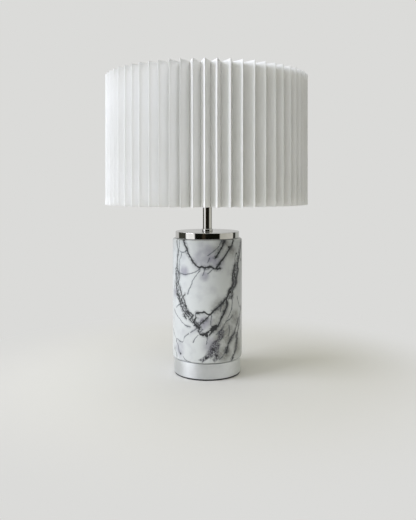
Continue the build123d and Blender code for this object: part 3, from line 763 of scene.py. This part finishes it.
stem_low, stem_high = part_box("stem_tube")
stem = turned(
    "polished_stem",
    [
        (stem_high.x - STEM_WALL, stem_low.z, DEBURRED),
        (stem_high.x, stem_low.z, DEBURRED),
        (stem_high.x, stem_high.z, DEBURRED),
        (stem_high.x - STEM_WALL, stem_high.z, DEBURRED),
    ],
    polished_nickel,
    sides=128,
)
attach(stem, "lamp")
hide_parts("stem_tube")

# ---- Lamp holder cup ----
# The drawn metal cup of the lamp holder, screwed onto the top of the tie rod and locked by a
# grub screw in its hub. Plated like the stem, and hidden by the shade from the side.
dress("holder_cup", polished_nickel)

# ---- Insulator and live pieces ----
# A glazed porcelain block in the holder carries the brass screw shell, the sprung contacts and
# the two terminals. Porcelain stands the heat of the bulb that is screwed in above it.
PORCELAIN_WARM = (0.78, 0.76, 0.71, 1)
PORCELAIN_PALE = (0.86, 0.85, 0.82, 1)
PORCELAIN_SPECK = (0.30, 0.24, 0.18, 1)
BRASS_DARK = (0.55, 0.36, 0.13, 1)
BRASS_PALE = (0.80, 0.60, 0.28, 1)


def porcelain_recipe(start):
    glaze = noise(start, 90, detail=3)
    specks = noise(start, 1500, detail=2)
    warm = tint(fade(glaze, 0.3, 0.7), PORCELAIN_WARM, PORCELAIN_PALE)
    return {
        "Base Color": tint(fade(specks, 0.74, 0.80) * 0.5, warm, PORCELAIN_SPECK),
        "Roughness": 0.12 + 0.20 * glaze,
        "Normal": relief(glaze, 0.0001),
    }


def brass_recipe(start):
    tarnish = noise(start, 170, detail=4)
    drawn = noise(start, 600, detail=3, stretch=(1, 1, 0.15))
    return {
        "Base Color": tint(fade(tarnish, 0.35, 0.65), BRASS_DARK, BRASS_PALE),
        "Metallic": 1.0,
        "Roughness": 0.20 + 0.20 * tarnish + 0.1 * drawn,
        "Normal": relief(drawn, 0.00003),
    }


dress("socket_insulator", finish("porcelain", porcelain_recipe))
brass = finish("brass", brass_recipe)
for live_piece in ("terminal_blocks", "shell_contact", "screw_shell", "centre_contact", "switch_shaft"):
    dress(live_piece, brass)

# ---- Turn switch ----
# A rotary switch in the side of the holder: a fluted black knob on a brass shaft that turns a
# white moulded rotor against the contacts. It turns on and on, a quarter turn at a time.
MOULDING_WARM = (0.72, 0.71, 0.68, 1)
MOULDING_PALE = (0.80, 0.795, 0.775, 1)


def white_moulding_recipe(start):
    grain = noise(start, 1800, detail=3)
    flow = noise(start, 80, detail=2)
    return {
        "Base Color": tint(fade(flow, 0.3, 0.7), MOULDING_WARM, MOULDING_PALE),
        "Roughness": 0.32 + 0.12 * grain + 0.08 * flow,
        "Normal": relief(grain, 0.00004),
    }


white_moulding = finish("white_moulding", white_moulding_recipe)
dress("switch_rotor", white_moulding)
dress("switch_knob", black_moulding)

# ---- Holder sleeve ----
# The moulded white sleeve of the holder, with a flange that the shade's fitter rests on and a
# coarse thread outside, on which the clamp ring screws down. Its mouth is turned in to a lip.
SLEEVE_RADIUS = 0.0194
SLEEVE_WALL = 0.002
SLEEVE_LIP = 0.0018
FLANGE_EASE = 0.0004
MOUTH_EASE = 0.0006
FITTER_THICKNESS = 0.0015
SKIRT_DEPTH = 0.003
SKIRT_RADIUS = 0.0185
LIP_BORE_RADIUS = 0.0137
THREAD_PITCH = 0.0025
THREAD_DEPTH = 0.0006
THREAD_RUNOUT = 0.0015
THREAD_ABOVE_FLANGE = 0.0018
THREAD_BELOW_MOUTH = 0.0012
THREAD_STEPS_PER_TURN = 10
SIDE_TOLERANCE = 0.00001


def cut_thread(piece, radius, low, high):
    """Cuts a rounded screw thread into the outside of a turned piece between two heights."""
    for vertex in piece.data.vertices:
        place = vertex.co
        height = place.z
        on_side = math.hypot(place.x, place.y) >= radius - SIDE_TOLERANCE
        if not (on_side and low < height < high):
            continue
        turn = math.atan2(place.y, place.x) / (2 * math.pi)
        groove = 0.5 - 0.5 * math.cos(2 * math.pi * ((height - low) / THREAD_PITCH - turn))
        ends = min(1.0, (height - low) / THREAD_RUNOUT, (high - height) / THREAD_RUNOUT)
        shrink = 1 - THREAD_DEPTH * groove * ends / radius
        place.x *= shrink
        place.y *= shrink
    piece.data.update()


sleeve_low, sleeve_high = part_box("holder_sleeve")
sleeve_bore = SLEEVE_RADIUS - SLEEVE_WALL
sleeve_lip_foot = sleeve_high.z - SLEEVE_LIP
flange_foot = sleeve_low.z + SKIRT_DEPTH
flange_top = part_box("fitter_spider")[1].z - FITTER_THICKNESS
thread_low = flange_top + THREAD_ABOVE_FLANGE
thread_high = sleeve_high.z - THREAD_BELOW_MOUTH
thread_length = thread_high - thread_low
thread_rings = int(thread_length / THREAD_PITCH * THREAD_STEPS_PER_TURN)
threaded_side = [
    (SLEEVE_RADIUS, thread_low + thread_length * ring / thread_rings, 0)
    for ring in range(thread_rings + 1)
]
sleeve = turned(
    "threaded_sleeve",
    [
        (sleeve_bore, sleeve_low.z, DEBURRED),
        (SKIRT_RADIUS, sleeve_low.z, DEBURRED),
        (SKIRT_RADIUS, flange_foot, 0),
        (sleeve_high.x, flange_foot, FLANGE_EASE),
        (sleeve_high.x, flange_top, FLANGE_EASE),
        (SLEEVE_RADIUS, flange_top, DEBURRED),
        *threaded_side,
        (SLEEVE_RADIUS, sleeve_high.z, MOUTH_EASE),
        (LIP_BORE_RADIUS, sleeve_high.z, FLANGE_EASE),
        (LIP_BORE_RADIUS, sleeve_lip_foot, BORE_EASE),
        (sleeve_bore, sleeve_lip_foot, BORE_EASE),
    ],
    white_moulding,
    sides=128,
    steps=4,
)
cut_thread(sleeve, SLEEVE_RADIUS, thread_low, thread_high)
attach(sleeve, "lamp")
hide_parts("holder_sleeve")

# ---- Shade frame ----
# A pressed fitter plate with three wire arms welded to it, and two wire rings that keep the folds
# round. All of it is white powder coat, which is a little uneven and thins out over the wires.
COAT_WARM = (0.70, 0.70, 0.68, 1)
COAT_PALE = (0.80, 0.80, 0.79, 1)


def powder_recipe(start):
    peel = noise(start, 1100, detail=3)
    cover = noise(start, 120, detail=3)
    return {
        "Base Color": tint(fade(cover, 0.3, 0.7), COAT_WARM, COAT_PALE),
        "Roughness": 0.38 + 0.18 * peel,
        "Normal": relief(peel, 0.00012),
    }


white_wire = finish("white_wire", powder_recipe)
for wire_piece in ("fitter_spider", "upper_wire_ring", "lower_wire_ring"):
    dress(wire_piece, white_wire)

# ---- Clamp ring ----
# A white moulded ring with finger notches, which screws down the sleeve onto the fitter plate
# and holds the shade.
dress("clamp_ring", white_moulding)

# ---- Pleated shade ----
# One sheet of off-white cloth on a stiff backing, turned over at both edges and pressed into
# sixty sharp upright folds, then closed into a drum and fixed to the wire rings at its inner folds.
PLEATS = 60
PLEAT_DEPTH = 0.0245
CLOTH_PROUD = 0.0005  # how far the folds stand outside the plain solid
CLOTH_LEAN = 0.0011  # how much further they do so on the left, and less on the right
RIM_PROUD_ABOVE = 0.0003
RIM_PROUD_BELOW = 0.0007
PLEAT_PHASE = math.radians(-91.1)
CLOTH_THICKNESS = 0.0005
HEM_EXTRA = 0.0003
HEM_HEIGHT = 0.006
HEM_STEP = 0.0004
FOLD_WIDTH = 0.0008
FOLD_SEGMENTS = 3
SHARP_FOLD = math.radians(60)
FACE_COLUMNS = 4
CLOTH_ROWS = 26
CHANCE_SEED = 7
# The folds were pushed along by hand, so they bunch and spread slowly round the shade. Each wave
# is how often it goes round, how far it moves a fold in degrees, and where it starts.
SPACING_WAVES = ((1, 4.5, 146), (2, 3.25, 9), (3, 1.8, -103))
SPACING_START = math.radians(-1.2)
SPACING_SPREAD = math.radians(0.2)
BOW_SPREAD = math.radians(0.12)
DEPTH_SPREAD = 0.0007
CLOTH_WARM = (0.915, 0.915, 0.905, 1)
CLOTH_PALE = (0.95, 0.95, 0.948, 1)
CLOTH_LETS_THROUGH = 0.12
THREAD_SPACING = 0.0006


def cloth_recipe(start):
    east, north, height = coordinates(start)
    flat = start.node("CombineXYZ", {}, {0: east, 1: north})
    radius = start.node("VectorMath", {"operation": "LENGTH"}, {0: flat}, out="Value")
    density = 2 * math.pi / THREAD_SPACING
    weave = start.math("SINE", radius * density) * start.math("SINE", height * density)
    level_slubs = noise(start, 260, detail=3, stretch=(1, 1, 9))
    upright_slubs = noise(start, 260, detail=3, stretch=(6, 6, 0.6))
    slubs = level_slubs + upright_slubs
    ageing = noise(start, 14, detail=3)
    return {
        "Base Color": tint(fade(ageing + 0.3 * slubs, 0.45, 1.1), CLOTH_WARM, CLOTH_PALE),
        "Roughness": 0.82 + 0.1 * slubs,
        "Sheen Weight": 0.1,
        "Specular IOR Level": 0.3,
        "Normal": relief(0.35 * weave + 0.8 * slubs, 0.00008),
    }


def fold_lines(crest_radius):
    """Every fold, outer and inner in turn: its angle, its radius, and how far it bows and leans."""
    chance = random.Random(CHANCE_SEED)
    folds = []
    for fold in range(2 * PLEATS):
        even = PLEAT_PHASE + math.pi * fold / PLEATS
        from_front = even + math.pi / 2
        drift = SPACING_START
        for waves, size, shift in SPACING_WAVES:
            drift += math.radians(size) * math.sin(waves * from_front + math.radians(shift))
        inward = PLEAT_DEPTH if fold % 2 else CLOTH_LEAN * math.sin(from_front)
        angle = even + drift + chance.uniform(-1, 1) * SPACING_SPREAD
        radius = crest_radius - inward - chance.random() * DEPTH_SPREAD
        bow = chance.uniform(-1, 1) * BOW_SPREAD
        lean = chance.uniform(-1, 1) * BOW_SPREAD
        folds.append((angle, radius, bow, lean))
    return folds


def row_heights(span):
    """The heights of the sheet's rows above its lower rim, with a narrow step at each hem."""
    hem = [0, HEM_HEIGHT, HEM_HEIGHT + HEM_STEP]
    inner_rows = CLOTH_ROWS - 2 * len(hem)
    clear = span - 2 * hem[-1]
    middle = [hem[-1] + clear * (row + 1) / (inner_rows + 1) for row in range(inner_rows)]
    return hem + middle + [span - height for height in reversed(hem)]


def zigzag(name, rim_low, span, folds):
    """The mesh of the folded sheet: a ring of flat faces from fold to fold, with sharp folds."""
    form = bmesh.new()
    rows = []
    for height in row_heights(span):
        share = height / span
        corners = []
        for angle, radius, bow, lean in folds:
            turn = angle + bow * math.sin(math.pi * share) + lean * (share - 0.5)
            corners.append(Vector((radius * math.cos(turn), radius * math.sin(turn), rim_low + height)))
        row = []
        for corner, next_corner in zip(corners, corners[1:] + corners[:1]):
            for column in range(FACE_COLUMNS):
                row.append(form.verts.new(corner.lerp(next_corner, column / FACE_COLUMNS)))
        rows.append(row)
    for lower, upper in zip(rows, rows[1:]):
        for index in range(len(lower)):
            after = (index + 1) % len(lower)
            form.faces.new((lower[index], lower[after], upper[after], upper[index]))
    mesh = bpy.data.meshes.new(name)
    form.to_mesh(mesh)
    form.free()
    return mesh


def pleated_sheet(name, material):
    """The folded sheet with its folds rounded and its cloth thickened, most of all at the hems."""
    shade_low, shade_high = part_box("pleated_shade")
    rim_low = shade_low.z - RIM_PROUD_BELOW
    span = shade_high.z + RIM_PROUD_ABOVE - rim_low
    folds = fold_lines(shade_high.x - CLOTH_THICKNESS / 2 + CLOTH_PROUD)
    mesh = zigzag(name, rim_low, span, folds)
    mesh.materials.append(material)
    sheet = bpy.data.objects.new(name, mesh)
    bpy.context.scene.collection.objects.link(sheet)
    hem = sheet.vertex_groups.new(name="hem")
    hem_thickness = CLOTH_THICKNESS + HEM_EXTRA
    for vertex in mesh.vertices:
        height = vertex.co.z - rim_low
        in_hem = min(height, span - height) < HEM_HEIGHT + HEM_STEP / 2
        hem.add([vertex.index], 1.0 if in_hem else CLOTH_THICKNESS / hem_thickness, "REPLACE")
    rounding = sheet.modifiers.new("rounding", "BEVEL")
    rounding.width = FOLD_WIDTH
    rounding.segments = FOLD_SEGMENTS
    rounding.limit_method = "ANGLE"
    rounding.angle_limit = SHARP_FOLD
    thickness = sheet.modifiers.new("thickness", "SOLIDIFY")
    thickness.thickness = hem_thickness
    thickness.offset = 0
    thickness.vertex_group = "hem"
    bpy.context.view_layer.update()
    shaped = sheet.evaluated_get(bpy.context.evaluated_depsgraph_get())
    final = bpy.data.meshes.new_from_object(shaped)
    sheet.modifiers.clear()
    sheet.data = final
    final.shade_smooth()
    final.set_sharp_from_angle(angle=SHARP_FOLD)
    return sheet


shade_cloth = finish("shade_cloth", cloth_recipe, through=CLOTH_LETS_THROUGH)
folded_cloth = pleated_sheet("folded_cloth", shade_cloth)
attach(folded_cloth, "lamp")
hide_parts("pleated_shade")

# ---- Bulb ----
# A frosted screw bulb in the holder: blown glass with a soft white coating inside, cemented into
# a rolled metal screw cap, with black glass and a solder contact at its foot.
GLASS_WARM = (0.84, 0.835, 0.81, 1)
GLASS_PALE = (0.88, 0.88, 0.87, 1)
BULB_METAL_DARK = (0.55, 0.55, 0.56, 1)
BULB_METAL_PALE = (0.70, 0.70, 0.71, 1)
SOLDER_DARK = (0.36, 0.36, 0.37, 1)
SOLDER_PALE = (0.54, 0.54, 0.55, 1)
BLACK_GLASS_DARK = (0.006, 0.006, 0.008, 1)
BLACK_GLASS_PALE = (0.018, 0.018, 0.022, 1)


def frosted_recipe(start):
    frost = noise(start, 60, detail=3)
    powder = noise(start, 2400, detail=2)
    return {
        "Base Color": tint(fade(frost, 0.3, 0.7), GLASS_WARM, GLASS_PALE),
        "Roughness": 0.30 + 0.10 * powder,
        "Normal": relief(powder, 0.00002),
    }


def bulb_cap_recipe(start):
    rolled = noise(start, 300, detail=3)
    return {
        "Base Color": tint(fade(rolled, 0.3, 0.7), BULB_METAL_DARK, BULB_METAL_PALE),
        "Metallic": 1.0,
        "Roughness": 0.24 + 0.18 * rolled,
        "Normal": relief(rolled, 0.00004),
    }


def solder_recipe(start):
    dull = noise(start, 800, detail=4)
    return {
        "Base Color": tint(fade(dull, 0.3, 0.7), SOLDER_DARK, SOLDER_PALE),
        "Metallic": 1.0,
        "Roughness": 0.35 + 0.3 * dull,
        "Normal": relief(dull, 0.0001),
    }


def black_glass_recipe(start):
    flow = noise(start, 350, detail=2)
    return {
        "Base Color": tint(fade(flow, 0.3, 0.7), BLACK_GLASS_DARK, BLACK_GLASS_PALE),
        "Roughness": 0.08 + 0.1 * flow,
        "Normal": relief(flow, 0.00005),
    }


dress("bulb_glass", finish("frosted_glass", frosted_recipe))
dress("bulb_cap", finish("bulb_cap_metal", bulb_cap_recipe))
dress("bulb_contact", finish("solder", solder_recipe))
dress("bulb_insulator", finish("bulb_black_glass", black_glass_recipe))

# ---- Floor ----
# A plain pale round table top, a little mottled, which keeps the lamp's shadow. Further away it
# fades into the backdrop.
FLOOR_RADIUS = 1.0
FLOOR_DROP = 0.0001
FADE_START = 0.16  # metres from the lamp's middle
FADE_END = 0.42
FLOOR_COLOUR = (0.67, 0.665, 0.65, 1)
BACKDROP = (0.708, 0.708, 0.694, 1)


def seen_directly(start):
    """1 for rays of the camera and for mirrored and clear ones, and 0 for rays that only light."""
    path = start.node("LightPath")
    seen = path.output("Is Camera Ray") + path.output("Is Glossy Ray")
    seen = seen + path.output("Is Transmission Ray")
    return seen.at_most(1.0)


def floor_material():
    """A pale matt surface near the lamp, and further away the plain colour of the backdrop."""
    made = bpy.data.materials.new("pale_floor")
    made.use_nodes = True
    made.node_tree.nodes.clear()
    start = Wire(made.node_tree)
    place = start.node("TexCoord", out="Object")
    away = start.node("VectorMath", {"operation": "LENGTH"}, {0: place}, out="Value")
    mottle = noise(start, 60, detail=3)
    pale = tint(mottle * 0.1, FLOOR_COLOUR, BACKDROP)
    near = start.node("BsdfDiffuse", {}, {"Color": pale})
    far = start.node("Emission", {}, {"Color": BACKDROP})
    faded = fade(away, FADE_START, FADE_END) * seen_directly(start)
    shader = start.node("MixShader", {}, {0: faded, 1: near, 2: far})
    start.node("OutputMaterial", {}, {"Surface": shader})
    return made


floor = turned(
    "floor",
    [(0, -FLOOR_DROP, 0), (FLOOR_RADIUS, -FLOOR_DROP, 0)],
    floor_material(),
    sides=96,
    closed=False,
)

# ---- Studio ----
# A large cool window light from the left and a little in front, and soft light from above and from
# all round, most of it from the front left. Mirrors see dark, white and grey panels instead.

# What mirrors see all round, by the angle to the right from the front, in degrees.
PANELS = (
    (-180, (0.55, 0.55, 0.54)),
    (-127, (0.62, 0.62, 0.61)),
    (-122, (0.05, 0.05, 0.04)),
    (-85, (0.05, 0.05, 0.04)),
    (-81, (1.10, 1.10, 1.10)),
    (-48, (1.06, 1.06, 1.05)),
    (-44, (0.005, 0.005, 0.003)),
    (-20, (0.005, 0.005, 0.003)),
    (-16, (0.040, 0.031, 0.020)),
    (-9, (0.040, 0.031, 0.020)),
    (-5, (0.005, 0.005, 0.003)),
    (44, (0.005, 0.005, 0.003)),
    (47, (0.50, 0.49, 0.44)),
    (104, (0.60, 0.59, 0.54)),
    (107, (0.03, 0.03, 0.025)),
    (119, (0.03, 0.03, 0.025)),
    (124, (0.46, 0.47, 0.44)),
    (180, (0.55, 0.55, 0.54)),
)
# The soft light that shines on the lamp from all round, by the same angle.
SOFT_LIGHT = (
    (-180, (0.60, 0.63, 0.66)),
    (-150, (0.42, 0.46, 0.46)),
    (-120, (0.28, 0.32, 0.34)),
    (-90, (0.46, 0.51, 0.56)),
    (-60, (0.82, 0.88, 0.93)),
    (-30, (0.90, 0.94, 0.95)),
    (0, (0.62, 0.63, 0.63)),
    (30, (0.40, 0.395, 0.36)),
    (60, (0.03, 0.03, 0.03)),
    (90, (0.02, 0.02, 0.02)),
    (120, (0.36, 0.37, 0.44)),
    (150, (0.60, 0.64, 0.69)),
    (180, (0.60, 0.63, 0.66)),
)
CEILING = (1.13, 1.09, 0.88, 1)
CEILING_START = 0.60  # how far up a ray points, as a share of its length
CEILING_FULL = 0.85
WINDOW_TURN = math.radians(-70)  # to the right from the front
WINDOW_DISTANCE = 1.6
WINDOW_HEIGHT = 1.05
WINDOW_SIZE = 1.1
WINDOW_POWER = 25
WINDOW_COLOUR = (0.87, 0.885, 1.0)
AIM_HEIGHT = 0.22


def colour_around(round_share, ring):
    """The colour of a ring at a share of the way round. The way starts behind the lamp."""
    stops = [(angle / 360 + 0.5, (*colour, 1)) for angle, colour in ring]
    return round_share.node("ValToRGB", {"stops": stops}, {0: round_share})


def studio_world():
    """Soft light for the lamp, panels for its mirrors, and a plain backdrop for the camera."""
    world = bpy.data.worlds.new("studio")
    bpy.context.scene.world = world
    world.use_nodes = True
    world.node_tree.nodes.clear()
    start = Wire(world.node_tree)
    east, north, height = coordinates(start, "Generated")
    turn = start.math("ARCTAN2", east, 0 - north)
    round_share = turn / (2 * math.pi) + 0.5
    overhead = fade(height, CEILING_START, CEILING_FULL)
    panels = tint(overhead, colour_around(round_share, PANELS), BACKDROP)
    soft_light = tint(overhead, colour_around(round_share, SOFT_LIGHT), CEILING)
    mirrored = start.node("Background", {}, {"Color": panels})
    plain = start.node("Background", {}, {"Color": BACKDROP})
    lighting = start.node("Background", {}, {"Color": soft_light})
    by_camera = start.node("LightPath", out="Is Camera Ray")
    shown = start.node("MixShader", {}, {0: by_camera, 1: mirrored, 2: plain})
    sky = start.node("MixShader", {}, {0: seen_directly(start), 1: lighting, 2: shown})
    start.node("OutputWorld", {}, {"Surface": sky})


def window_light():
    """A large square soft light that points at the lamp."""
    lamp = bpy.data.lights.new("window_light", "AREA")
    lamp.size = WINDOW_SIZE
    lamp.energy = WINDOW_POWER
    lamp.color = WINDOW_COLOUR
    right = WINDOW_DISTANCE * math.sin(WINDOW_TURN)
    forward = WINDOW_DISTANCE * math.cos(WINDOW_TURN)
    place = Vector((right, -forward, WINDOW_HEIGHT))
    aim = Vector((0, 0, AIM_HEIGHT)) - place
    holder = bpy.data.objects.new("window_light", lamp)
    holder.location = place
    holder.rotation_euler = aim.to_track_quat("-Z", "Y").to_euler()
    bpy.context.scene.collection.objects.link(holder)


studio_world()
window_light()

# ---- Camera ----
# A level camera a little under a metre away, just above the foot of the shade. Its frame is
# shifted down, so that the upright lines of the lamp stay upright.
CAMERA_PLACE = (0.0010, -0.9274, 0.2778)
CAMERA_LENS = 53.56
CAMERA_SHIFT = -0.1796
FOLD_BOUNCES = 20

camera_data = bpy.data.cameras.new("camera")
camera_data.sensor_fit = "HORIZONTAL"
camera_data.sensor_width = 36
camera_data.lens = CAMERA_LENS
camera_data.shift_y = CAMERA_SHIFT
camera_data.clip_start = 0.01
camera = bpy.data.objects.new("camera", camera_data)
camera.location = CAMERA_PLACE
camera.rotation_euler = (math.radians(90), 0, 0)
bpy.context.scene.collection.objects.link(camera)
bpy.context.scene.camera = camera
bpy.context.scene.view_settings.view_transform = "Standard"
# Light has to bounce many times between the folds of the shade before it comes out.
bpy.context.scene.cycles.max_bounces = FOLD_BOUNCES
bpy.context.scene.cycles.diffuse_bounces = FOLD_BOUNCES
